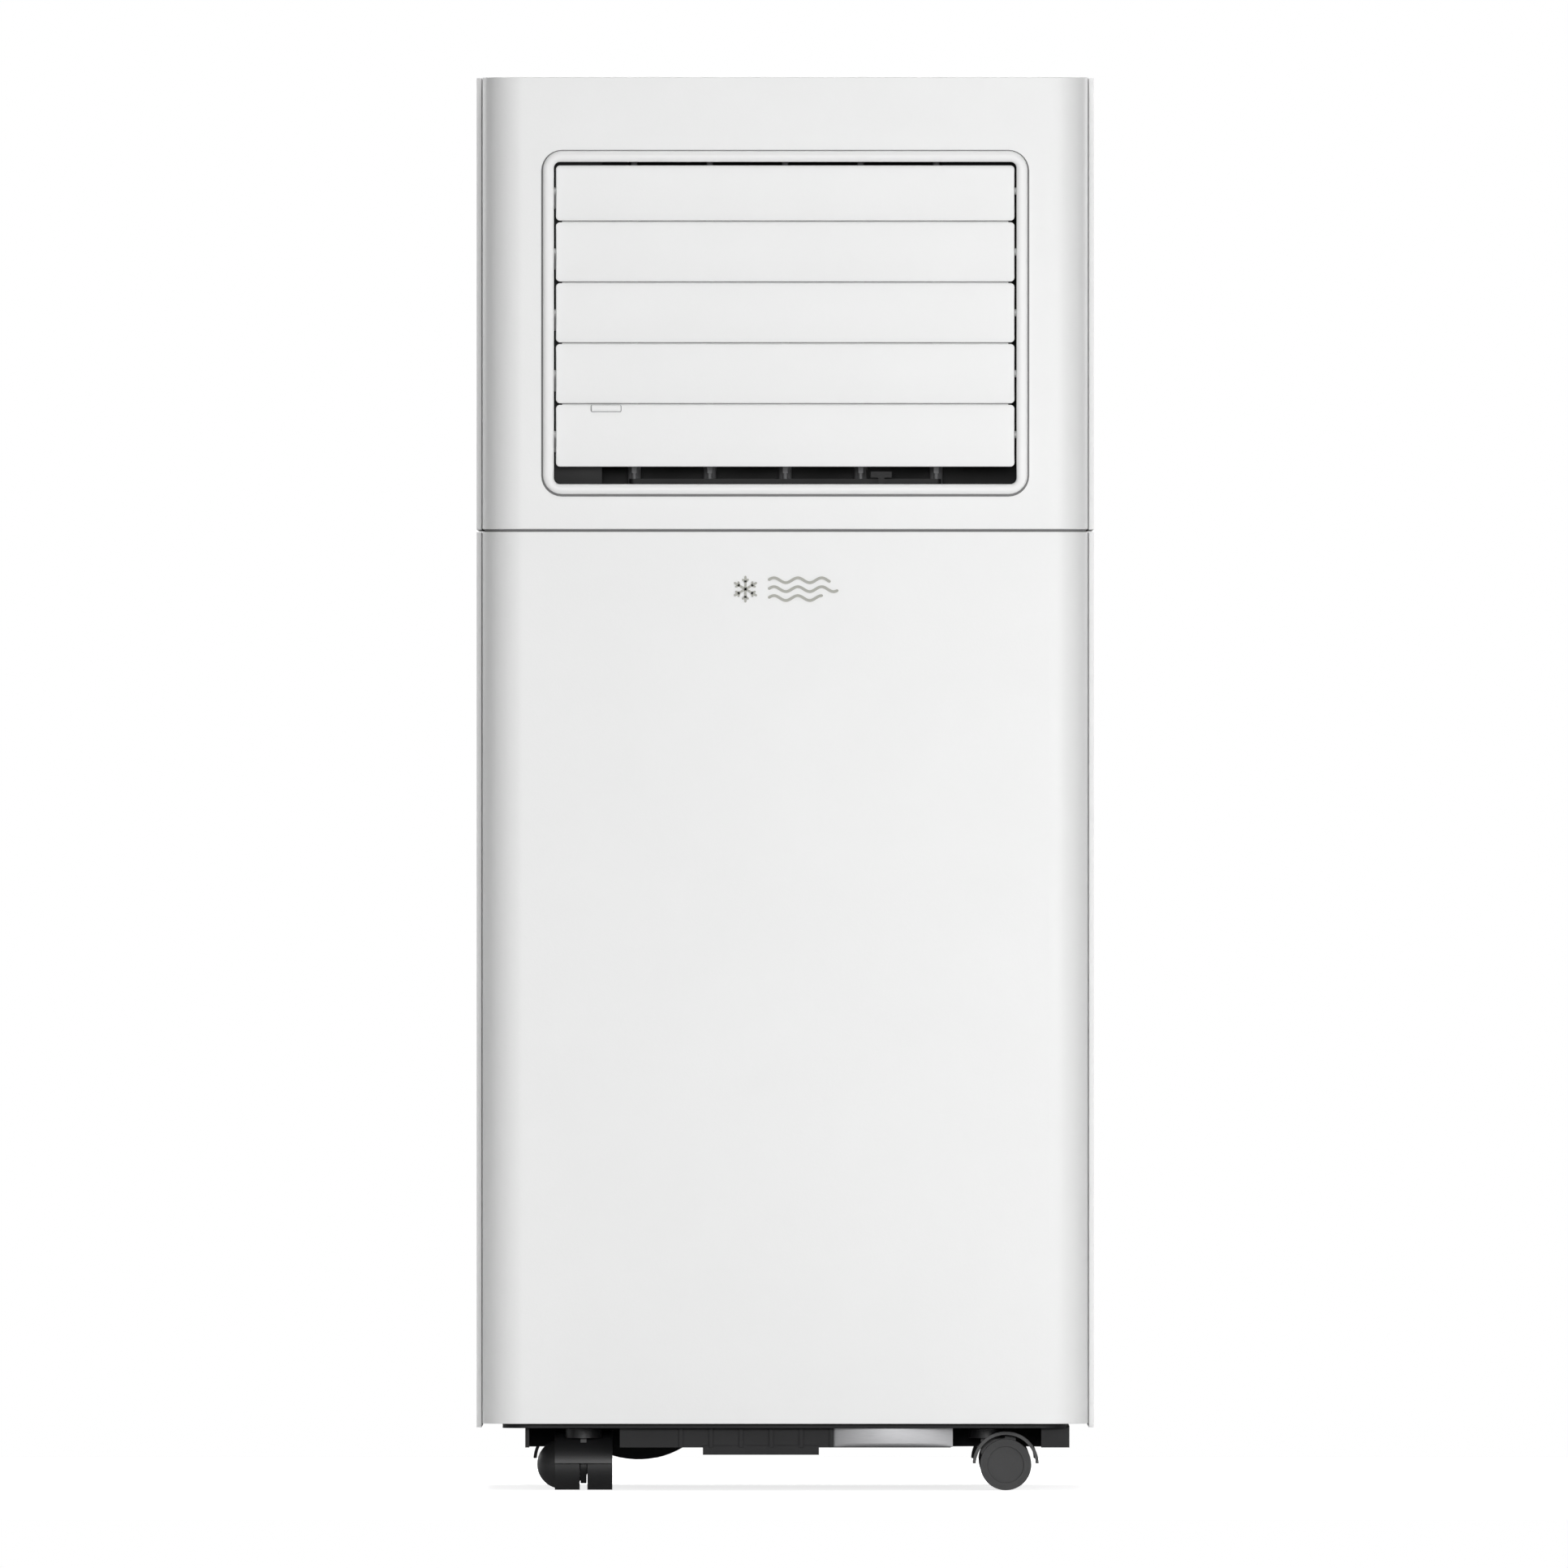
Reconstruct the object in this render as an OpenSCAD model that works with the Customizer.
// Portable air conditioner: an upright cabinet on four casters, with a front louvre, a top control
// panel, two rear intakes with filters and a round rear exhaust collar. The front faces -Y.

/* [Overall] */
// Width across the rear shells
overall_w = 306; // [300:1:370]
// Depth from the louvre bezel to the rim of the exhaust collar
overall_d = 330; // [328:1:400]
// Height from the floor to the top cover
overall_h = 700; // [696:1:850]

/* [Casing] */
// Height of the seam between the upper and lower panels
seam_z = 475.5; // [470:0.5:500]
// Width of the seam
seam_gap = 1.3; // [0.6:0.1:2.5]
// Thickness of the moulded panels and shells
wall = 2.5; // [2:0.1:3.2]
// How far the front panels stand in from the rear shells at each side
panel_inset = 3; // [1:0.5:6]
// Radius of the front panels' upright corners
front_corner_r = 20; // [10:1:30]
// Radius of the rear shells' upright corners
rear_corner_r = 26; // [12:1:34]
// Depth of the front panels' side returns
return_d = 45; // [35:1:60]
// Gap between a front panel's return and the rear shell
join_gap = 0.8; // [0.4:0.1:2]
// Height of the front panel's lower edge above the floor
panel_foot_z = 33.2; // [32:0.1:40]
// Height of the rear shell's lower edge above the floor
shell_foot_z = 31; // [30.8:0.1:32]

/* [Louvre] */
// Width of the bezel
bezel_w = 240; // [210:1:250]
// Height of the bezel
bezel_h = 170; // [160:1:174]
// Height of the bezel's lower edge above the seam
bezel_rise = 18; // [14:1:22]
// Width of the bezel's bead
bead_w = 5.5; // [4:0.5:8]
// How far the bead stands out from the panel
bead_proud = 2; // [1:0.5:3]
// Outer corner radius of the bezel
bezel_r = 9.5; // [6:0.5:14]
// Number of horizontal slats
slat_count = 5; // [5:1:5]
// Distance from one slat's pivot to the next
slat_pitch = 30.14; // [28:0.02:31]
// Thickness of a slat
slat_t = 2.6; // [2:0.1:3]
// Gap between two closed slats
slat_gap = 0.8; // [0.5:0.1:1.5]
// Number of upright vanes
vane_count = 5; // [5:1:5]
// Distance from one vane to the next
vane_pitch = 37.4; // [30:0.1:42]
// Thickness of a vane
vane_t = 2.4; // [1.6:0.1:3]

/* [Control panel] */
// Width of the control fascia
fascia_w = 220; // [216:1:260]
// Depth of the control fascia
fascia_d = 56; // [44:1:70]
// Radius of a push button
button_r = 8.5; // [6:0.1:9]
// Distance from one button to the next
button_pitch = 26; // [22:0.5:27]
// How far a button travels
button_travel = 1.2; // [0.6:0.1:1.4]

/* [Rear] */
// Inner radius of the exhaust collar
collar_r = 65; // [55:1:68]
// Wall of the exhaust collar
collar_wall = 3; // [2:0.5:4]
// How far the collar stands out of the rear shell
collar_proud = 12; // [8:1:25]
// Height of the collar's axis
collar_z = 392; // [388:1:396]
// Width of the two rear intake grilles
grille_w = 224; // [180:1:230]
// Height of the upper intake grille
upper_grille_h = 150; // [110:1:170]
// Height of the lower intake grille
lower_grille_h = 226; // [160:1:226]
// Radius of the cable hole in the cord gland
cord_hole_r = 4; // [3:0.1:5]

/* [Blowers] */
// Radius of a blower wheel
blower_r = 62; // [50:1:64]
// Length of the upper blower wheel
upper_blower_l = 146; // [100:1:156]
// Length of the lower blower wheel
lower_blower_l = 104; // [70:1:110]
// Number of blades on a blower wheel
blade_count = 28; // [16:2:36]
// Radius of a fan motor
motor_r = 34; // [26:1:38]

/* [Casters] */
// Radius of a caster wheel
wheel_r = 12.7; // [11:0.1:13]
// Width of a caster's pair of wheels over their treads
tread_w = 28.5; // [24:0.5:30]
// Offset of a caster's axle from its swivel
trail = 9.3; // [6:0.1:10]
// Distance of a caster's swivel from the side of the cabinet
caster_inset = 53; // [50:1:58]
// Radius of the stem in the base tray
stem_r = 4; // [3:0.1:5]

/* [Hidden] */
$fn = 72;

white = [0.95, 0.95, 0.94];
charcoal = [0.13, 0.13, 0.14];
black = [0.06, 0.06, 0.06];
grey = [0.45, 0.46, 0.47];
copper = [0.72, 0.42, 0.26];
silver = [0.75, 0.76, 0.78];

// Overshoot of a cut beyond the face that it opens.
eps = 1;

// Casing planes.
y_face = -overall_d / 2 + bead_proud;
y_back = overall_d / 2 - collar_proud;
y_join = y_face + return_d;
shell_x = overall_w / 2;
panel_x = shell_x - panel_inset;
lower_top = seam_z - seam_gap / 2;
upper_foot = seam_z + seam_gap / 2;
y_inner_back = y_back - wall;
fit_gap = 0.5;

// Base tray.
flange_x = panel_x - 10;
flange_y0 = y_face + 8;
flange_y1 = y_inner_back - 2;
tub_x0 = -(shell_x - 24.2);
tub_x1 = flange_x + 0.8;
tub_y0 = y_face + 17;
tub_y1 = y_back - 15;
tub_z = 21.3;
tub_t = 2.5;
rim_z = 50;
rim_t = 2.5;
caster_x = shell_x - caster_inset;
caster_y0 = tub_y0 + 25.5;
caster_y1 = tub_y1 - 28;
pocket_r = 31;
boss_top = 50;
stem_top = 48;
stem_fit = 0.08;
sump_x = -73;
sump_z = 56.3;
sump_r = 43;
sump_y0 = tub_y1 - 98;
sump_y1 = tub_y1 - 64;
skid = [-40.8, 16.7, 17.7];
rib_xs = [for (i = [0:5]) -51.6 + 14.9 * i];

// Louvre.
bezel_z0 = seam_z + bezel_rise;
bezel_z1 = bezel_z0 + bezel_h;
opening_x = bezel_w / 2 - bead_w;
opening_z0 = bezel_z0 + bead_w - 0.5;
opening_z1 = bezel_z1 - bead_w;
slat_x = opening_x - 1;
slat_face_y = y_face + 1.2;
slat_y = slat_face_y + 4.3;
slat_z1 = bezel_z1 - 19.9;
slat_top_up = 12.66;
slat_last_down = 15.9;
crank_r = 10;
crank_rest = -40;
link_x = opening_x + 2.5;
link_t = 2;
duct_x = bezel_w / 2 - 1;
duct_z0 = bezel_z0 + 1;
duct_z1 = bezel_z1 - 1.5;
duct_y0 = y_face + 3.2;
duct_y1 = y_face + 73;
duct_t = 2;
vane_y = y_face + 43;
vane_front = 18;
vane_back = 20;
vane_z0 = duct_z0 + 9.5;
vane_z1 = duct_z1 - 1;
vane_bar_z = duct_z0 + 4.3;
vane_bar_h = 2.4;
pin_r = 1.8;
pin_fit = 0.1;

// Top cover and controls.
cover_t = 2.5;
fascia_y = y_face + 58;
fascia_top = overall_h - 1.4;
fascia_t = 2.5;
button_top = overall_h - 0.2;
board_top = fascia_top - 10.5;
board_t = 1.6;
display_w = 40;
display_d = 20;

// Rear grilles, filters, drains and gland.
upper_grille_z0 = seam_z + 30;
lower_grille_z0 = 62;
grille_t = 3;
grille_gap = 0.8;
filter_t = 3;
drain_r = 6.3;
plug_r = 6.2;
lower_drain_z = 46;
upper_drain = [-104, 458];
gland = [100, 46];

// Partition between the two compartments.
part_z = seam_z - 9.5;
part_t = 2.5;
part_x = panel_x - wall - 1;

// Heat exchangers.
coil_d = 26;
coil_y = y_inner_back - 12.5 - coil_d;
condenser_x = 122;
condenser_z0 = rim_z + 2;
condenser_z1 = 292;
evaporator_x = 118;
evaporator_z0 = seam_z + 10;
evaporator_z1 = evaporator_z0 + 180;

// Blowers. A scroll grows from its tongue to its outlet by one even spiral.
scroll_r0 = blower_r + 5;
scroll_r1 = blower_r + 34;
tongue = 140;
scroll_t = 2;
upper_bz = part_z + part_t + scroll_r0 + 26 + scroll_t;
upper_by = y_face + 163;
lower_bz = collar_z - 69;
lower_by = y_back - 161;
inlet_r = 46;
shaft_r = 4;
shaft_fit = 0.06;

// Compressor.
comp = [54, tub_y0 + 76];
comp_r = 50;
comp_z0 = tub_z + 18;
comp_z1 = 222;

// Casters: place, and the angle at which each one stands.
axle_z = wheel_r;
hood_r = wheel_r + 3.7;
hood_t = 1.6;
hood_foot = 13.3;
cap_h = 8.8;
casters = [
    [-caster_x, caster_y0, 90], [caster_x, caster_y0, 0], [-caster_x, caster_y1, 180],
    [caster_x, caster_y1, 0]
];

// Screws through the rear shells, each a place in X and Z.
screw_x = shell_x - rear_corner_r - 5;
screws = [
    [-screw_x, shell_foot_z + 11], [screw_x, shell_foot_z + 11], [-screw_x, part_z - 14],
    [screw_x, part_z - 14], [-screw_x, overall_h - 14], [screw_x, overall_h - 14]
];

// Hand recesses in the sides of the upper rear shell.
handle_in = 24;
handle_y0 = y_inner_back - 190;
handle_y1 = handle_y0 + 100;
handle_z0 = overall_h - 78;
handle_z1 = handle_z0 + 34;

// Finger tab on the lowest slat and thumb tab on the vane bar.
tab_x0 = -opening_x + 18.6;
tab_x1 = tab_x0 + 14.4;
thumb_x = 47.6;

// Controls, drain, pipe, plenum, splash wheel and caster values that hang on those above.
button_xs = [for (i = [0:5])
    (i < 3 ? -1 : 1) * (display_w / 2 + 12 + button_pitch * (i < 3 ? 2 - i : i - 3))];
pipe_r = 4;
suction = [132, coil_y - 40];
plenum_y0 = y_inner_back - 42;
guard_y = y_inner_back - 6.5;
splash_y = (sump_y0 + sump_y1) / 2 - 3;
hood_top = axle_z + hood_r;
cap_base = wheel_r - 1;
cap_ball = (cap_base * cap_base + cap_h * cap_h) / (2 * cap_h);

function slat_z(i) = slat_z1 - (i - 1) * slat_pitch;
function vane_x(i) = (i - (vane_count + 1) / 2) * vane_pitch;
function scroll_w(l) = l + 10;
function neck_z0(z) = z + scroll_r0 * sin(tongue);
function neck_z1(z) = z + scroll_r1;

// A rounded rectangle, centred.
module rrect(w, h, r) {
    square([w - 2 * r, h], center = true);
    square([w, h - 2 * r], center = true);
    for (x = [-1, 1], y = [-1, 1]) translate([x * (w / 2 - r), y * (h / 2 - r)]) circle(r);
}

// The same as a plate standing in the XZ plane, from y to y + d.
module plate_y(x, y, z, w, d, h, r) {
    translate([x, y, z]) rotate([-90, 0, 0]) linear_extrude(d) rrect(w, h, r);
}

// A box given by its two corners.
module span(a, b) {
    translate(a) cube([for (i = [0:2]) b[i] - a[i]]);
}

// Cylinders along X and Y that start at p.
module rod_x(p, r, l) {
    translate(p) rotate([0, 90, 0]) cylinder(r = r, h = l);
}
module rod_y(p, r, l) {
    translate(p) rotate([-90, 0, 0]) cylinder(r = r, h = l);
}
module rod_z(p, r, l) {
    translate(p) cylinder(r = r, h = l);
}

// A cabinet half in plan: half width x, closed end at y0 with corners r, open end at y1.
module half_plan(x, y0, y1, r) {
    s = sign(y1 - y0);
    for (b = [[x, y0 + s * r, y1], [x - r, y0, y1]])
        translate([-b[0], min(b[1], b[2])]) square([2 * b[0], abs(b[2] - b[1])]);
    for (i = [-1, 1]) translate([i * (x - r), y0 + s * r]) circle(r);
}

module half_shell(x, y0, y1, r, z0, z1) {
    s = sign(y1 - y0);
    translate([0, 0, z0]) linear_extrude(z1 - z0) difference() {
        half_plan(x, y0, y1, r);
        half_plan(x - wall, y0 + s * wall, y1 + s * eps, r - wall);
    }
}

// Base tray: flange, tub with caster pockets and sump, catch rim, compressor pads and drain spout.
module pocket(r, z0, z1) {
    for (c = casters) rod_z([c[0], c[1], z0], r, z1 - z0);
}

module base_tray() color(charcoal) difference() {
    union() {
        difference() {
            union() {
                translate([0, (flange_y0 + flange_y1) / 2, shell_foot_z])
                    linear_extrude(panel_foot_z - shell_foot_z)
                        rrect(2 * flange_x, flange_y1 - flange_y0, 12);
                span([tub_x0, tub_y0, tub_z], [tub_x1, tub_y1, shell_foot_z + 1]);
                rod_y([sump_x, sump_y0, sump_z], sump_r, sump_y1 - sump_y0);
                for (x = rib_xs) span([x - 1, tub_y0 - 1.5, tub_z], [x + 1, tub_y0 + 1, shell_foot_z]);
                span([skid[0], tub_y0 - 1, skid[2]], [skid[1], tub_y0 + 12, tub_z + 1]);
            }
            span([-shell_x, y_face, panel_foot_z], [shell_x, y_back, sump_z + sump_r + eps]);
            difference() {
                union() {
                    span([tub_x0 + tub_t, tub_y0 + tub_t, tub_z + tub_t],
                        [tub_x1 - tub_t, tub_y1 - tub_t, rim_z]);
                    rod_y([sump_x, sump_y0 + tub_t, sump_z], sump_r - tub_t,
                        sump_y1 - sump_y0 - 2 * tub_t);
                }
                pocket(pocket_r + tub_t, 0, rim_z);
            }
        }
        difference() {
            span([-flange_x + 4, flange_y0 + 4, panel_foot_z - 1], [flange_x - 4, flange_y1 - 4, rim_z]);
            span([-flange_x + 4 + rim_t, flange_y0 + 4 + rim_t, panel_foot_z - 2],
                [flange_x - 4 - rim_t, flange_y1 - 4 - rim_t, rim_z + eps]);
        }
        pocket(stem_r + 4, shell_foot_z, boss_top);
        for (a = [90, 210, 330])
            rod_z([comp[0] + 44 * cos(a), comp[1] + 44 * sin(a), tub_z + 1], 9, comp_z0 - 6 - tub_z - 1);
        rod_y([0, flange_y1 - 8, lower_drain_z], drain_r + 2.5, y_inner_back - 0.4 - flange_y1 + 8);
        for (x = [-screw_x, screw_x])
            span([x - 6, flange_y1 - 16, panel_foot_z - 1], [x + 6, flange_y1, rim_z]);
    }
    for (x = [-screw_x, screw_x]) rod_y([x, flange_y1 - 14, shell_foot_z + 11], 1.9, 30);
    pocket(pocket_r, 0, shell_foot_z);
    for (s = [-1, 1]) span([min(s * (caster_x - 18), s * (caster_x + 26.8)), tub_y0 - eps, 0],
        [max(s * (caster_x - 18), s * (caster_x + 26.8)), caster_y0, shell_foot_z]);
    pocket(stem_r + stem_fit, 0, boss_top + eps);
    rod_y([0, flange_y1 - 9, lower_drain_z], drain_r, 20);
}

// Front panels.
module front_lower_panel() color(white) union() {
    half_shell(panel_x, y_face, y_join, front_corner_r, panel_foot_z, lower_top);
    for (x = [-70, 0, 70]) span([x - 1, y_face + wall - 0.5, panel_foot_z + 30],
        [x + 1, y_face + wall + 4, part_z - 2]);
}

module front_upper_panel() color(white) difference() {
    half_shell(panel_x, y_face, y_join, front_corner_r, upper_foot, overall_h);
    plate_y(0, y_face - eps, (bezel_z0 + bezel_z1) / 2,
        bezel_w - 5, wall + 2 * eps, bezel_h - 5, bezel_r - 2);
}

// Rear shells.
module screw_holes(z0, z1) {
    for (p = screws) if (p[1] > z0 && p[1] < z1) rod_y([p[0], y_inner_back - eps, p[1]], 2.3, wall + 2 * eps);
}

module handle(s, grow) {
    x0 = s * (shell_x - handle_in - grow);
    x1 = s * (shell_x - wall / 2);
    span([min(x0, x1), handle_y0 - grow, handle_z0 - grow],
        [max(x0, x1), handle_y1 + grow, handle_z1 + grow]);
}

module rear_lower_shell() color(white) difference() {
    half_shell(shell_x, y_back, y_join + join_gap, rear_corner_r, shell_foot_z, lower_top);
    span([-grille_w / 2, y_inner_back - eps, lower_grille_z0],
        [grille_w / 2, y_back + eps, lower_grille_z0 + lower_grille_h]);
    rod_y([0, y_inner_back - eps, collar_z], collar_r + collar_wall + fit_gap, wall + 2 * eps);
    rod_y([0, y_inner_back - eps, lower_drain_z], drain_r + 1, wall + 2 * eps);
    rod_y([upper_drain[0], y_inner_back - eps, upper_drain[1]], drain_r + 1, wall + 2 * eps);
    rod_y([gland[0], y_inner_back - eps, gland[1]], cord_hole_r + 4.2, wall + 2 * eps);
    screw_holes(shell_foot_z, lower_top);
}

module rear_upper_shell() color(white) difference() {
    union() {
        half_shell(shell_x, y_back, y_join + join_gap, rear_corner_r, upper_foot, overall_h);
        for (s = [-1, 1]) handle(s, 2);
    }
    for (s = [-1, 1]) handle(s, 0);
    for (s = [-1, 1]) span([min(s * (shell_x - wall), s * (shell_x + eps)), handle_y0, handle_z0],
        [max(s * (shell_x - wall), s * (shell_x + eps)), handle_y1, handle_z1]);
    span([-grille_w / 2, y_inner_back - eps, upper_grille_z0],
        [grille_w / 2, y_back + eps, upper_grille_z0 + upper_grille_h]);
    screw_holes(upper_foot, overall_h);
}

// Top cover: a plate inside the rim of the four panels, with a fascia opening and screw lugs.
module cover_plan(g) {
    half_plan(panel_x - wall - g, y_face + wall + g, y_join + join_gap + 8, front_corner_r - wall - g);
    half_plan(shell_x - wall - g, y_inner_back - g, y_join + join_gap + g, rear_corner_r - wall - g);
}

module top_cover() color(white) difference() {
    union() {
        translate([0, 0, overall_h - cover_t]) linear_extrude(cover_t) cover_plan(fit_gap);
        translate([0, 0, overall_h - cover_t - 10]) linear_extrude(11) difference() {
            cover_plan(fit_gap);
            cover_plan(fit_gap + 2);
        }
        for (p = screws) if (p[1] > upper_foot + 100)
            span([p[0] - 6, y_inner_back - 16, overall_h - 22],
                [p[0] + 6, y_inner_back - fit_gap, overall_h - 1]);
    }
    translate([0, fascia_y, overall_h - cover_t - eps]) linear_extrude(cover_t + 2 * eps)
        rrect(fascia_w, fascia_d, 8);
    for (p = screws) if (p[1] > upper_foot + 100) rod_y([p[0], y_inner_back - 15, p[1]], 1.9, 20);
}

module case_screws() color(silver) for (p = screws) difference() {
    union() {
        rod_y([p[0], y_inner_back - 11, p[1]], 1.8, wall + 11);
        rod_y([p[0], y_back, p[1]], 3.6, 1.8);
    }
    for (a = [0, 90]) translate([p[0], y_back + 1.5, p[1]]) rotate([0, a, 0])
        cube([3.6, 1.6, 0.8], center = true);
}

// Louvre bezel: the bead stands out of the panel and its spigot sits in the panel's opening.
module louver_bezel() color(white) {
    zc = (bezel_z0 + bezel_z1) / 2;
    oz = (opening_z0 + opening_z1) / 2;
    difference() {
        union() {
            plate_y(0, y_face - bead_proud, zc, bezel_w, bead_proud, bezel_h, bezel_r);
            plate_y(0, y_face - 0.5, zc, bezel_w - 6, duct_y0 - y_face + 0.3, bezel_h - 6, bezel_r - 2.5);
        }
        plate_y(0, y_face - bead_proud - eps, oz, 2 * opening_x, 10, opening_z1 - opening_z0, 3);
    }
}

// Outlet duct behind the louvre: bearings for slats and vanes, and a cover over the slat linkage.
module outlet_duct() color(charcoal) difference() {
    union() {
        difference() {
            span([-duct_x - duct_t, duct_y0, duct_z0 - duct_t], [duct_x + duct_t, duct_y1, duct_z1 + duct_t]);
            span([-duct_x, duct_y0 - eps, duct_z0], [duct_x, duct_y1 - duct_t, duct_z1]);
        }
        span([-duct_x, vane_y - 22, duct_z0 - 1], [-vane_pitch * 2 - 16, vane_y - 20, duct_z1]);
    }
    span([-scroll_w(upper_blower_l) / 2, duct_y1 - duct_t - eps, neck_z0(upper_bz)],
        [scroll_w(upper_blower_l) / 2, duct_y1 + eps, neck_z1(upper_bz)]);
    for (i = [1:slat_count]) rod_x([-duct_x - duct_t - eps, slat_y, slat_z(i)], pin_r + pin_fit,
        2 * (duct_x + duct_t + eps));
    for (i = [1:vane_count]) rod_z([vane_x(i), vane_y, duct_z0 - duct_t - eps], pin_r + pin_fit,
        duct_z1 - duct_z0 + 2 * duct_t + 2 * eps);
}

// A slat: blade, two end lugs with pivot pins, and a crank arm with its pin at the left end.
module louver_slat(i) color(white) {
    z = slat_z(i);
    up = i == 1 ? slat_top_up : slat_pitch / 2 - slat_gap / 2;
    down = i == slat_count ? slat_last_down : slat_pitch / 2 - slat_gap / 2;
    cy = slat_y + crank_r * cos(crank_rest);
    cz = z + crank_r * sin(crank_rest);
    plate_y(0, slat_face_y, z + (up - down) / 2, 2 * slat_x, slat_t, up + down, 2);
    for (s = [-1, 1]) {
        rod_x([s * (slat_x - 1) - 1, slat_y, z], 3.4, 2);
        span([s * (slat_x - 1) - 1, slat_face_y + slat_t - 0.3, z - 3.4],
            [s * (slat_x - 1) + 1, slat_y, z + 3.4]);
        rod_x([s > 0 ? slat_x - 0.5 : -duct_x - duct_t, slat_y, z], pin_r, duct_x + duct_t - slat_x + 0.5);
    }
    translate([-slat_x, slat_y, z]) rotate([crank_rest, 0, 0])
        translate([-1.2, 0, -2]) cube([1.7, crank_r, 4]);
    rod_x([-slat_x - 1.2, cy, cz], 2.4, 1.7);
    rod_x([-link_x - link_t + 0.2, cy, cz], 1.4, link_x + link_t - slat_x);
    if (i == slat_count)
        span([tab_x0, slat_face_y - 1.4, z + up - 3.2], [tab_x1, slat_face_y + 0.5, z + up - 0.3]);
}

module slat_link_bar() color(grey) difference() {
    y = slat_y + crank_r * cos(crank_rest);
    z = crank_r * sin(crank_rest);
    union() {
        span([-link_x - link_t, y - 2, slat_z(slat_count) + z], [-link_x, y + 2, slat_z(1) + z]);
        for (i = [1:slat_count]) rod_x([-link_x - link_t, y, slat_z(i) + z], 2.3, link_t);
    }
    for (i = [1:slat_count]) rod_x([-link_x - link_t - eps, y, slat_z(i) + z], 1.5, link_t + 2 * eps);
}

// An upright vane on its pivots, with a drive pin below its front edge.
module vane(i) color(grey) {
    x = vane_x(i);
    span([x - vane_t / 2, vane_y - vane_front, vane_z0], [x + vane_t / 2, vane_y + vane_back, vane_z1]);
    rod_z([x, vane_y, duct_z0 - duct_t], pin_r, duct_z1 - duct_z0 + 2 * duct_t);
    rod_z([x, vane_y, duct_z0 + 0.3], 3.2, vane_z0 - duct_z0 + 3);
    rod_z([x, vane_y - vane_front + 3, vane_bar_z + 0.2], 1.3, vane_z0 - vane_bar_z + 4);
}

module vane_link_bar() color(grey) difference() {
    y = vane_y - vane_front + 3;
    union() {
        span([vane_x(1), y - 2.5, vane_bar_z], [vane_x(vane_count), y + 2.5, vane_bar_z + vane_bar_h]);
        for (i = [1:vane_count]) rod_z([vane_x(i), y, vane_bar_z], 2.5, vane_bar_h);
        span([thumb_x - 5.2, y - 8, vane_bar_z + 3], [thumb_x + 5.2, y - 6, vane_bar_z + 6]);
        span([thumb_x - 1.5, y - 8, vane_bar_z], [thumb_x + 1.5, y - 1, vane_bar_z + 4]);
    }
    for (i = [1:vane_count]) rod_z([vane_x(i), y, vane_bar_z - eps], 1.42, vane_bar_h + 2 * eps);
}

// Controls: fascia with round holes, display window, push buttons, and the board under them.
module control_fascia() color([0.12, 0.12, 0.13]) difference() {
    union() {
        translate([0, fascia_y, fascia_top - fascia_t]) linear_extrude(fascia_t)
            rrect(fascia_w - 2 * fit_gap, fascia_d - 2 * fit_gap, 7.5);
        for (x = [-1, 1], y = [-1, 1]) rod_z([x * (fascia_w / 2 - 10), fascia_y + y * (fascia_d / 2 - 9),
            board_top], 3, fascia_top - board_top - 1);
    }
    for (x = button_xs) rod_z([x, fascia_y, fascia_top - fascia_t - eps], button_r + 0.3, fascia_t + 2 * eps);
    translate([0, fascia_y, fascia_top - fascia_t - eps]) linear_extrude(fascia_t + 2 * eps)
        rrect(display_w, display_d, 3);
}

module display_lens() color([0.02, 0.02, 0.02]) translate([0, fascia_y, fascia_top - fascia_t]) {
    linear_extrude(fascia_t - 0.2) rrect(display_w - 0.3, display_d - 0.3, 2.85);
    translate([0, 0, -1.5]) linear_extrude(1.5) rrect(display_w + 3, display_d + 3, 3);
}

module button(i) color(white) {
    foot = board_top + 1.9 + button_travel + 0.3;
    rod_z([button_xs[i], fascia_y, foot], button_r, button_top - foot);
    rod_z([button_xs[i], fascia_y, fascia_top - fascia_t - 1.7], button_r + 1.2, 1.4);
}

module control_board() color([0.05, 0.3, 0.16]) {
    translate([0, fascia_y, board_top - board_t]) linear_extrude(board_t)
        rrect(fascia_w - 6, fascia_d - 6, 2);
    for (x = button_xs) span([x - 3, fascia_y - 3, board_top - 0.1], [x + 3, fascia_y + 3, board_top + 1.9]);
    span([-display_w / 2, fascia_y - display_d / 2, board_top - 0.1],
        [display_w / 2, fascia_y + display_d / 2, fascia_top - fascia_t - 1.8]);
}

// Intake grilles: a frame with level bars, on two hinge pins at its foot, and a filter clipped inside.
module grille(z0, h) color(white) difference() {
    w = grille_w - 2 * grille_gap;
    y0 = y_back - grille_t;
    union() {
        difference() {
            span([-w / 2, y0, z0 + grille_gap], [w / 2, y_back, z0 + h - grille_gap]);
            span([-w / 2 + 9, y0 - eps, z0 + 10], [w / 2 - 9, y_back + eps, z0 + h - 10]);
        }
        for (z = [z0 + 16 : 7 : z0 + h - 14])
            span([-w / 2 + 8, y0 + 0.4, z - 1.2], [w / 2 - 8, y_back - 0.4, z + 1.2]);
        for (x = [-w / 6, w / 6]) span([x - 1.5, y0, z0 + 9], [x + 1.5, y_back - 0.8, z0 + h - 9]);
    }
    span([-14, y_back - 1.2, z0 + h - 8], [14, y_back + eps, z0 + h - 4]);
}

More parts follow.
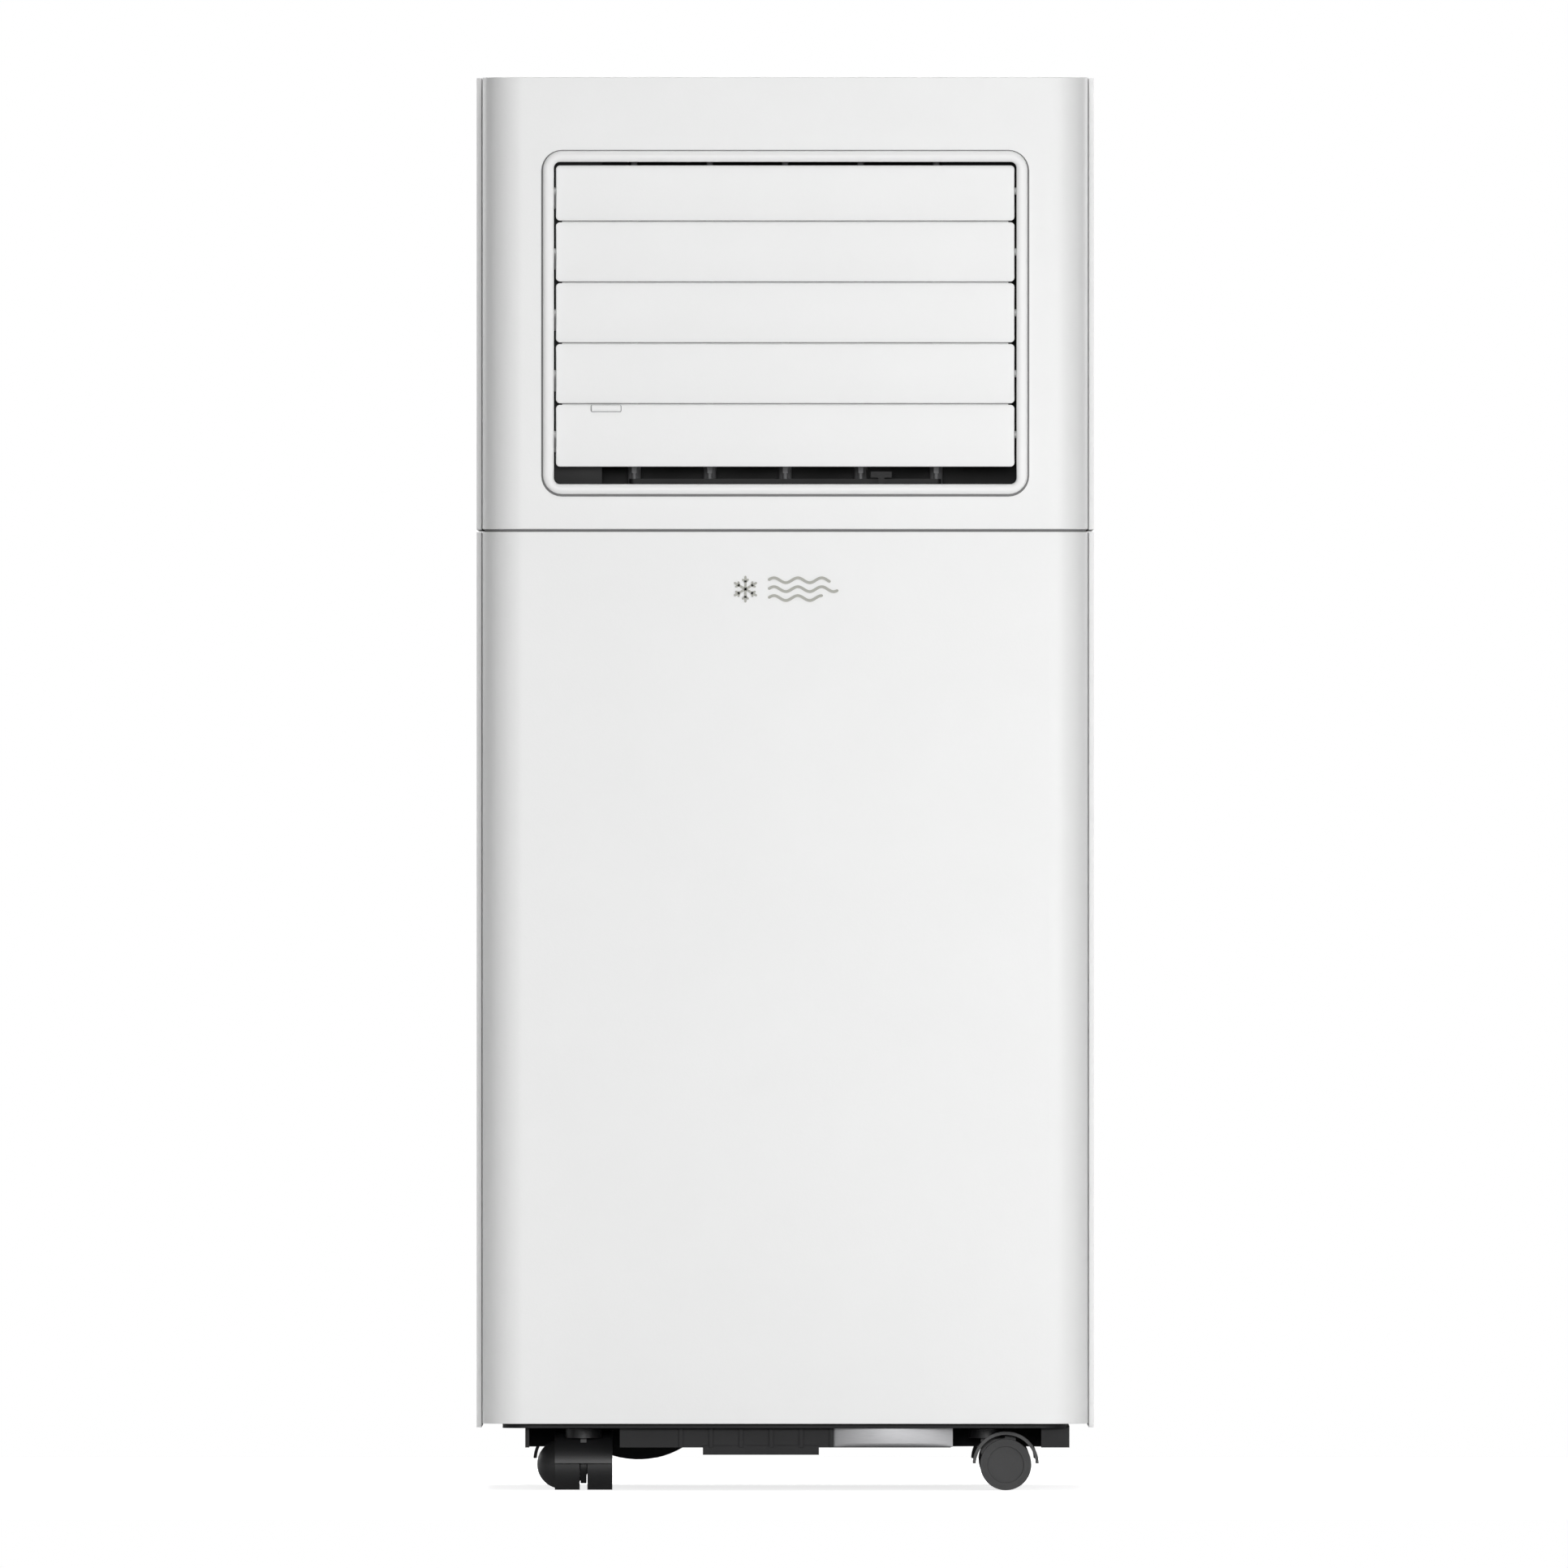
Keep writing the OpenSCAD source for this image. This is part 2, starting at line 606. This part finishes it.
module filter(z0, h) color([0.3, 0.32, 0.34]) difference() {
    w = grille_w - 2 * grille_gap - 8;
    y0 = y_back - grille_t - filter_t;
    union() {
        difference() {
            span([-w / 2, y0, z0 + 6], [w / 2, y_back - grille_t, z0 + h - 6]);
            span([-w / 2 + 5, y0 - eps, z0 + 11], [w / 2 - 5, y_back, z0 + h - 11]);
        }
        span([-w / 2 + 4, y0 + 1, z0 + 10], [w / 2 - 4, y0 + 1.6, z0 + h - 10]);
        for (x = [-w / 4, 0, w / 4]) span([x - 1, y0, z0 + 10], [x + 1, y0 + 2.4, z0 + h - 10]);
        span([-w / 2 + 4, y0, z0 + h / 2 - 1], [w / 2 - 4, y0 + 2.4, z0 + h / 2 + 1]);
    }
}

// Exhaust: a round collar on a square plenum behind the shell, with a cross guard.
module exhaust_collar() color(white) {
    half = collar_r + collar_wall + 4;
    y0 = plenum_y0;
    difference() {
        union() {
            rod_y([0, y_inner_back - 1, collar_z], collar_r + collar_wall, wall + collar_proud + 1);
            span([-half, y0, collar_z - half], [half, y_inner_back - 0.2, collar_z + half]);
        }
        rod_y([0, y_inner_back - 3, collar_z], collar_r, wall + collar_proud + 3 + eps);
        span([-half + 2, y0 + 2, collar_z - half + 2], [half - 2, y_inner_back - 2.2, collar_z + half - 2]);
        span([-scroll_w(lower_blower_l) / 2, y0 - eps, neck_z0(lower_bz)],
            [scroll_w(lower_blower_l) / 2, y0 + 3, neck_z1(lower_bz)]);
    }
    for (a = [0:30:150]) translate([0, guard_y + 1, collar_z]) rotate([0, a, 0])
        cube([2 * collar_r + 4, 2, 1.6], center = true);
    for (r = [16, 32, 48]) difference() {
        rod_y([0, guard_y, collar_z], r + 1, 2);
        rod_y([0, guard_y - 1, collar_z], r - 1, 4);
    }
    difference() {
        rod_y([0, guard_y - 1, collar_z], collar_r + 4, 5.5);
        rod_y([0, guard_y - 2, collar_z], collar_r + 1.5, 8);
    }
}

module drain_plug(x, z) color(charcoal) {
    rod_y([x, y_inner_back - 9, z], plug_r, wall + 9.3);
    rod_y([x, y_back + 0.3, z], drain_r + 3.5, 3);
    span([x - 1.5, y_back + 3, z - 6], [x + 1.5, y_back + 8, z + 6]);
}

module cord_gland() color(charcoal) difference() {
    union() {
        rod_y([gland[0], y_inner_back - 2.5, gland[1]], cord_hole_r + 4, wall + 3);
        rod_y([gland[0], y_back + 0.1, gland[1]], cord_hole_r + 6, 2.4);
        rod_y([gland[0], y_back, gland[1]], cord_hole_r + 2, 9);
    }
    rod_y([gland[0], y_inner_back - 10, gland[1]], cord_hole_r, 30);
}

// Partition and drip tray, with the upper drain's sump below it.
module partition_tray() color(charcoal) difference() {
    y0 = y_face + wall + 2;
    y1 = y_inner_back - 3;
    union() {
        difference() {
            translate([0, (y0 + y1) / 2, part_z]) linear_extrude(9) rrect(2 * part_x, y1 - y0, 22);
            translate([0, (y0 + y1) / 2, part_z + part_t]) linear_extrude(9)
                rrect(2 * part_x - 5, y1 - y0 - 5, 19.5);
        }
        span([upper_drain[0] - 9, y1 - 26, upper_drain[1] - 9], [upper_drain[0] + 9, y1, part_z + 1]);
        for (x = [-screw_x, screw_x]) span([x - 6, y1 - 22, part_z - 20], [x + 6, y1, part_z + 1]);
    }
    rod_y([upper_drain[0], y1 - 22, upper_drain[1]], drain_r, 30);
    rod_z([upper_drain[0], y1 - 16, upper_drain[1]], 4, 30);
    for (x = [-screw_x, screw_x]) rod_y([x, y1 - 18, part_z - 14], 1.9, 30);
    rod_z([suction[0], suction[1], part_z - eps], pipe_r + 3, 12);
}

// Finned coils: thin fins on rows of tubes, between two end plates, with return bends at one side.
module coil(x, z0, z1) {
    rows = floor((z1 - z0) / 26);
    step = (z1 - z0) / rows;
    color(silver) {
        for (s = [-1, 1]) span([s * x - 1, coil_y, z0 - 2], [s * x + 1, coil_y + coil_d, z1 + 2]);
        span([-x + 0.5, coil_y + 2, z0], [x - 0.5, coil_y + coil_d - 2, z1]);
    }
    color(copper) for (i = [0 : rows - 1]) translate([-x - 1, coil_y + coil_d / 2, z0 + step * (i + 0.5)])
        rotate([0, -90, 0]) rotate([0, 0, 90]) rotate([90, 0, 0]) rotate_extrude(angle = 180)
            translate([6, 0]) circle(3.2);
}

module evaporator() coil(evaporator_x, evaporator_z0, evaporator_z1);

module condenser() {
    coil(condenser_x, condenser_z0, condenser_z1);
    color(silver) for (s = [-1, 1]) span([s * condenser_x - 1, coil_y + 6, panel_foot_z],
        [s * condenser_x + 1, coil_y + coil_d - 6, condenser_z0]);
}

// Blower scroll, standing in the YZ plane. flow is -1 for an outlet to the front and 1 to the rear.
function spiral(grow, n = 40) = [for (i = [0:n]) let (a = tongue + (450 - tongue) * i / n,
    r = scroll_r0 + grow + (scroll_r1 - scroll_r0) * i / n) [r * cos(a), r * sin(a)]];

module scroll_outline(grow, neck) {
    polygon(concat(spiral(grow), [[-neck, scroll_r1 + grow], [-neck, scroll_r0 * sin(tongue) - grow]]));
}

module scroll(y, z, l, neck, flow) color([0.2, 0.2, 0.22]) {
    w = scroll_w(l);
    translate([-w / 2 - scroll_t, y, z]) mirror([0, flow > 0 ? 1 : 0, 0]) rotate([90, 0, 90]) difference() {
        linear_extrude(w + 2 * scroll_t) scroll_outline(scroll_t, neck);
        translate([0, 0, scroll_t]) linear_extrude(w) scroll_outline(0, neck + eps);
        translate([0, 0, -eps]) cylinder(r = inlet_r, h = w + 2 * scroll_t + 2 * eps);
    }
}

// Squirrel-cage wheel: a ring of blades between two end rings and a centre disc with the hub.
module blower_wheel(y, z, l) color(charcoal) translate([0, y, z]) rotate([0, 90, 0]) {
    difference() {
        union() {
            translate([0, 0, -l / 2]) linear_extrude(l) for (i = [0 : blade_count - 1])
                rotate(i * 360 / blade_count) translate([blower_r - 7, 0]) rotate(35)
                    square([9.6, 1.2], center = true);
            for (z = [-l / 2, l / 2 - 3, -1.5]) translate([0, 0, z]) difference() {
                cylinder(r = blower_r, h = 3);
                translate([0, 0, -eps]) cylinder(r = blower_r - 11, h = 5);
            }
            translate([0, 0, -1.5]) cylinder(r = blower_r - 10, h = 3);
            translate([0, 0, -9]) cylinder(r = 10, h = 22);
        }
        translate([0, 0, -10]) cylinder(r = shaft_r + shaft_fit, h = 30);
    }
}

// Fan motor: can, end boss, shaft into the wheel, and three arms to the scroll's side.
module fan_motor(y, z, l) color(silver) {
    x0 = scroll_w(l) / 2 + scroll_t;
    rod_x([x0 + 8, y, z], motor_r, 44);
    rod_x([x0, y, z], 14, 9);
    rod_x([x0 + 50, y, z], 16, 8);
    rod_x([-9, y, z], shaft_r, x0 + 12);
    for (a = [90, 210, 330]) translate([0, y, z]) rotate([a, 0, 0]) {
        span([x0 + 20, motor_r - 3, -5], [x0 + 28, inlet_r + 8, 5]);
        span([x0, inlet_r + 2, -5], [x0 + 28, inlet_r + 8, 5]);
    }
}

// Compressor: a welded can with domed ends on three feet, and its suction accumulator.
module compressor() color(black) {
    translate([comp[0], comp[1], comp_z0]) rotate_extrude() polygon([
        [0, 0], [30, 0], [comp_r - 6, 5], [comp_r, 16], [comp_r, comp_z1 - comp_z0 - 22],
        [comp_r - 8, comp_z1 - comp_z0 - 8], [26, comp_z1 - comp_z0], [0, comp_z1 - comp_z0]]);
    rod_z([comp[0], comp[1], comp_z0 - 3], 40, 4);
    for (a = [90, 210, 330]) translate([comp[0], comp[1], comp_z0 - 3]) rotate(a) {
        span([20, -8, 0], [46, 8, 3]);
        rod_z([44, 0, -3], 8, 8);
    }
    rod_z([comp[0] - 78, comp[1], comp_z0 + 50], 20, 100);
    span([comp[0] - 60, comp[1] - 6, comp_z0 + 90], [comp[0] - comp_r + 1, comp[1] + 6, comp_z0 + 102]);
    rod_z([comp[0] + 20, comp[1], comp_z1 - 3], pipe_r + 1, 8);
    rod_z([comp[0] - 78, comp[1], comp_z0 + 149], pipe_r + 1, 6);
}

// Copper pipes: straight runs with a brazed elbow at each corner.
module pipe(points) color(copper) {
    for (i = [0 : len(points) - 2]) {
        d = points[i + 1] - points[i];
        l = norm(d);
        translate(points[i]) rotate([0, acos(d[2] / l), atan2(d[1], d[0])]) cylinder(r = pipe_r, h = l);
    }
    for (i = [1 : len(points) - 2]) translate(points[i]) sphere(pipe_r * 1.25);
}

module refrigerant_pipes() {
    pipe([[comp[0] + 20, comp[1], comp_z1 + 5], [comp[0] + 20, comp[1], comp_z1 + 12],
        [134, comp[1], comp_z1 + 12], [134, coil_y + 13, comp_z1 + 12],
        [condenser_x + 1, coil_y + 13, comp_z1 + 12]]);
    pipe([[comp[0] - 78, comp[1], comp_z0 + 155], [comp[0] - 78, comp[1], comp_z1 + 12],
        [-134, comp[1], comp_z1 + 12], [-134, suction[1], comp_z1 + 12], [-134, suction[1], part_z - 30],
        [suction[0], suction[1], part_z - 30], [suction[0], suction[1], evaporator_z0 + 30],
        [suction[0], coil_y + 13, evaporator_z0 + 30], [evaporator_x + 1, coil_y + 13, evaporator_z0 + 30]]);
}

// Electrical box under the partition, with the run capacitor on its side.
module electrical_box() color([0.55, 0.56, 0.58]) {
    y0 = y_face + 8;
    difference() {
        span([-108, y0, part_z - 126], [12, y0 + 36, part_z]);
        span([-106, y0 + 2, part_z - 124], [10, y0 + 34, part_z - 2]);
    }
    for (z = [part_z - 110 : 14 : part_z - 20]) span([-100, y0 - 1, z], [4, y0 + 0.5, z + 3]);
    rod_x([12, y0 + 18, part_z - 60], 16, 60);
}

// Splash wheel over the sump and its motor, on a foot that stands on the tray.
module splash_wheel() color(grey) translate([sump_x, splash_y, sump_z]) rotate([-90, 0, 0]) difference() {
    union() {
        cylinder(r = 31, h = 2.5);
        linear_extrude(6) for (i = [0:17]) rotate(i * 20) translate([32, 0]) rotate(25)
            square([9, 1.6], center = true);
        translate([0, 0, -3]) cylinder(r = 7, h = 12);
    }
    translate([0, 0, -4]) cylinder(r = 3 + shaft_fit, h = 20);
}

module splash_motor() color(silver) {
    rod_y([sump_x, splash_y - 50, sump_z], 18, 40);
    rod_y([sump_x, splash_y - 11, sump_z], 6, 6);
    rod_y([sump_x, splash_y - 12, sump_z], 3, 20);
    span([sump_x - 22, splash_y - 40, panel_foot_z - 9.4 + 0.1],
        [sump_x + 22, splash_y - 20, panel_foot_z - 9.4 + 3]);
    span([sump_x - 14, splash_y - 40, panel_foot_z - 8], [sump_x + 14, splash_y - 20, sump_z - 6]);
}

// Caster: stem, neck, web and hood, in its own axes with the axle along Y.
module at_caster(c) {
    translate([c[0], c[1], 0]) rotate(c[2]) children();
}

module caster(c) color(black) at_caster(c) difference() {
    union() {
        rod_z([0, 0, 26], stem_r, stem_top - 26);
        rod_z([0, 0, hood_top - 3.3], 9, 4.5);
        difference() {
            rod_y([trail, -tread_w / 2, axle_z], hood_r, tread_w);
            rod_y([trail, -tread_w / 2 - eps, axle_z], hood_r - hood_t, tread_w + 2 * eps);
            span([-hood_r, -tread_w, -hood_r], [trail + hood_r + eps, tread_w, hood_foot]);
        }
        rod_y([trail, -1.5, axle_z], 9.5, 3);
        span([-3, -1.5, 18], [trail + 5, 1.5, hood_top - 2]);
    }
    rod_y([trail, -3, axle_z], 2.06, 6);
}

// A caster's two wheels on one axle, the outer one with a domed cap.
module caster_wheels(c) color(black) at_caster(c) {
    rod_y([trail, -tread_w / 2 + 1, axle_z], 2, tread_w - 2);
    for (y = [-tread_w / 2, 1.9]) difference() {
        rod_y([trail, y, axle_z], wheel_r, tread_w / 2 - 1.9);
        if (y < 0) rod_y([trail, y - eps, axle_z], 9, 2);
    }
    translate([trail, tread_w / 2, axle_z]) intersection() {
        translate([0, cap_h - cap_ball, 0]) sphere(cap_ball);
        rod_y([0, 0, 0], wheel_r, cap_h + eps);
    }
}

base_tray();
front_lower_panel();
front_upper_panel();
rear_lower_shell();
rear_upper_shell();
top_cover();
case_screws();
louver_bezel();
outlet_duct();
louver_slat(1);  // louver_slat_1
louver_slat(2);  // louver_slat_2
louver_slat(3);  // louver_slat_3
louver_slat(4);  // louver_slat_4
louver_slat(5);  // louver_slat_5
slat_link_bar();
vane(1);  // vane_1
vane(2);  // vane_2
vane(3);  // vane_3
vane(4);  // vane_4
vane(5);  // vane_5
vane_link_bar();
control_fascia();
display_lens();
button(0);  // button_power
button(1);  // button_mode
button(2);  // button_fan
button(3);  // button_down
button(4);  // button_up
button(5);  // button_timer
control_board();
grille(upper_grille_z0, upper_grille_h);  // upper_intake_grille
filter(upper_grille_z0, upper_grille_h);  // upper_filter
grille(lower_grille_z0, lower_grille_h);  // lower_intake_grille
filter(lower_grille_z0, lower_grille_h);  // lower_filter
exhaust_collar();
drain_plug(upper_drain[0], upper_drain[1]);  // upper_drain_plug
drain_plug(0, lower_drain_z);  // lower_drain_plug
cord_gland();
partition_tray();
evaporator();
condenser();
scroll(upper_by, upper_bz, upper_blower_l, upper_by - duct_y1, -1);  // upper_scroll
blower_wheel(upper_by, upper_bz, upper_blower_l);  // upper_blower_wheel
fan_motor(upper_by, upper_bz, upper_blower_l);  // upper_fan_motor
scroll(lower_by, lower_bz, lower_blower_l, plenum_y0 - lower_by, 1);  // lower_scroll
blower_wheel(lower_by, lower_bz, lower_blower_l);  // lower_blower_wheel
fan_motor(lower_by, lower_bz, lower_blower_l);  // lower_fan_motor
compressor();
refrigerant_pipes();
electrical_box();
splash_wheel();
splash_motor();
caster(casters[0]);  // caster_front_left
caster(casters[1]);  // caster_front_right
caster(casters[2]);  // caster_rear_left
caster(casters[3]);  // caster_rear_right
caster_wheels(casters[0]);  // caster_wheels_front_left
caster_wheels(casters[1]);  // caster_wheels_front_right
caster_wheels(casters[2]);  // caster_wheels_rear_left
caster_wheels(casters[3]);  // caster_wheels_rear_right
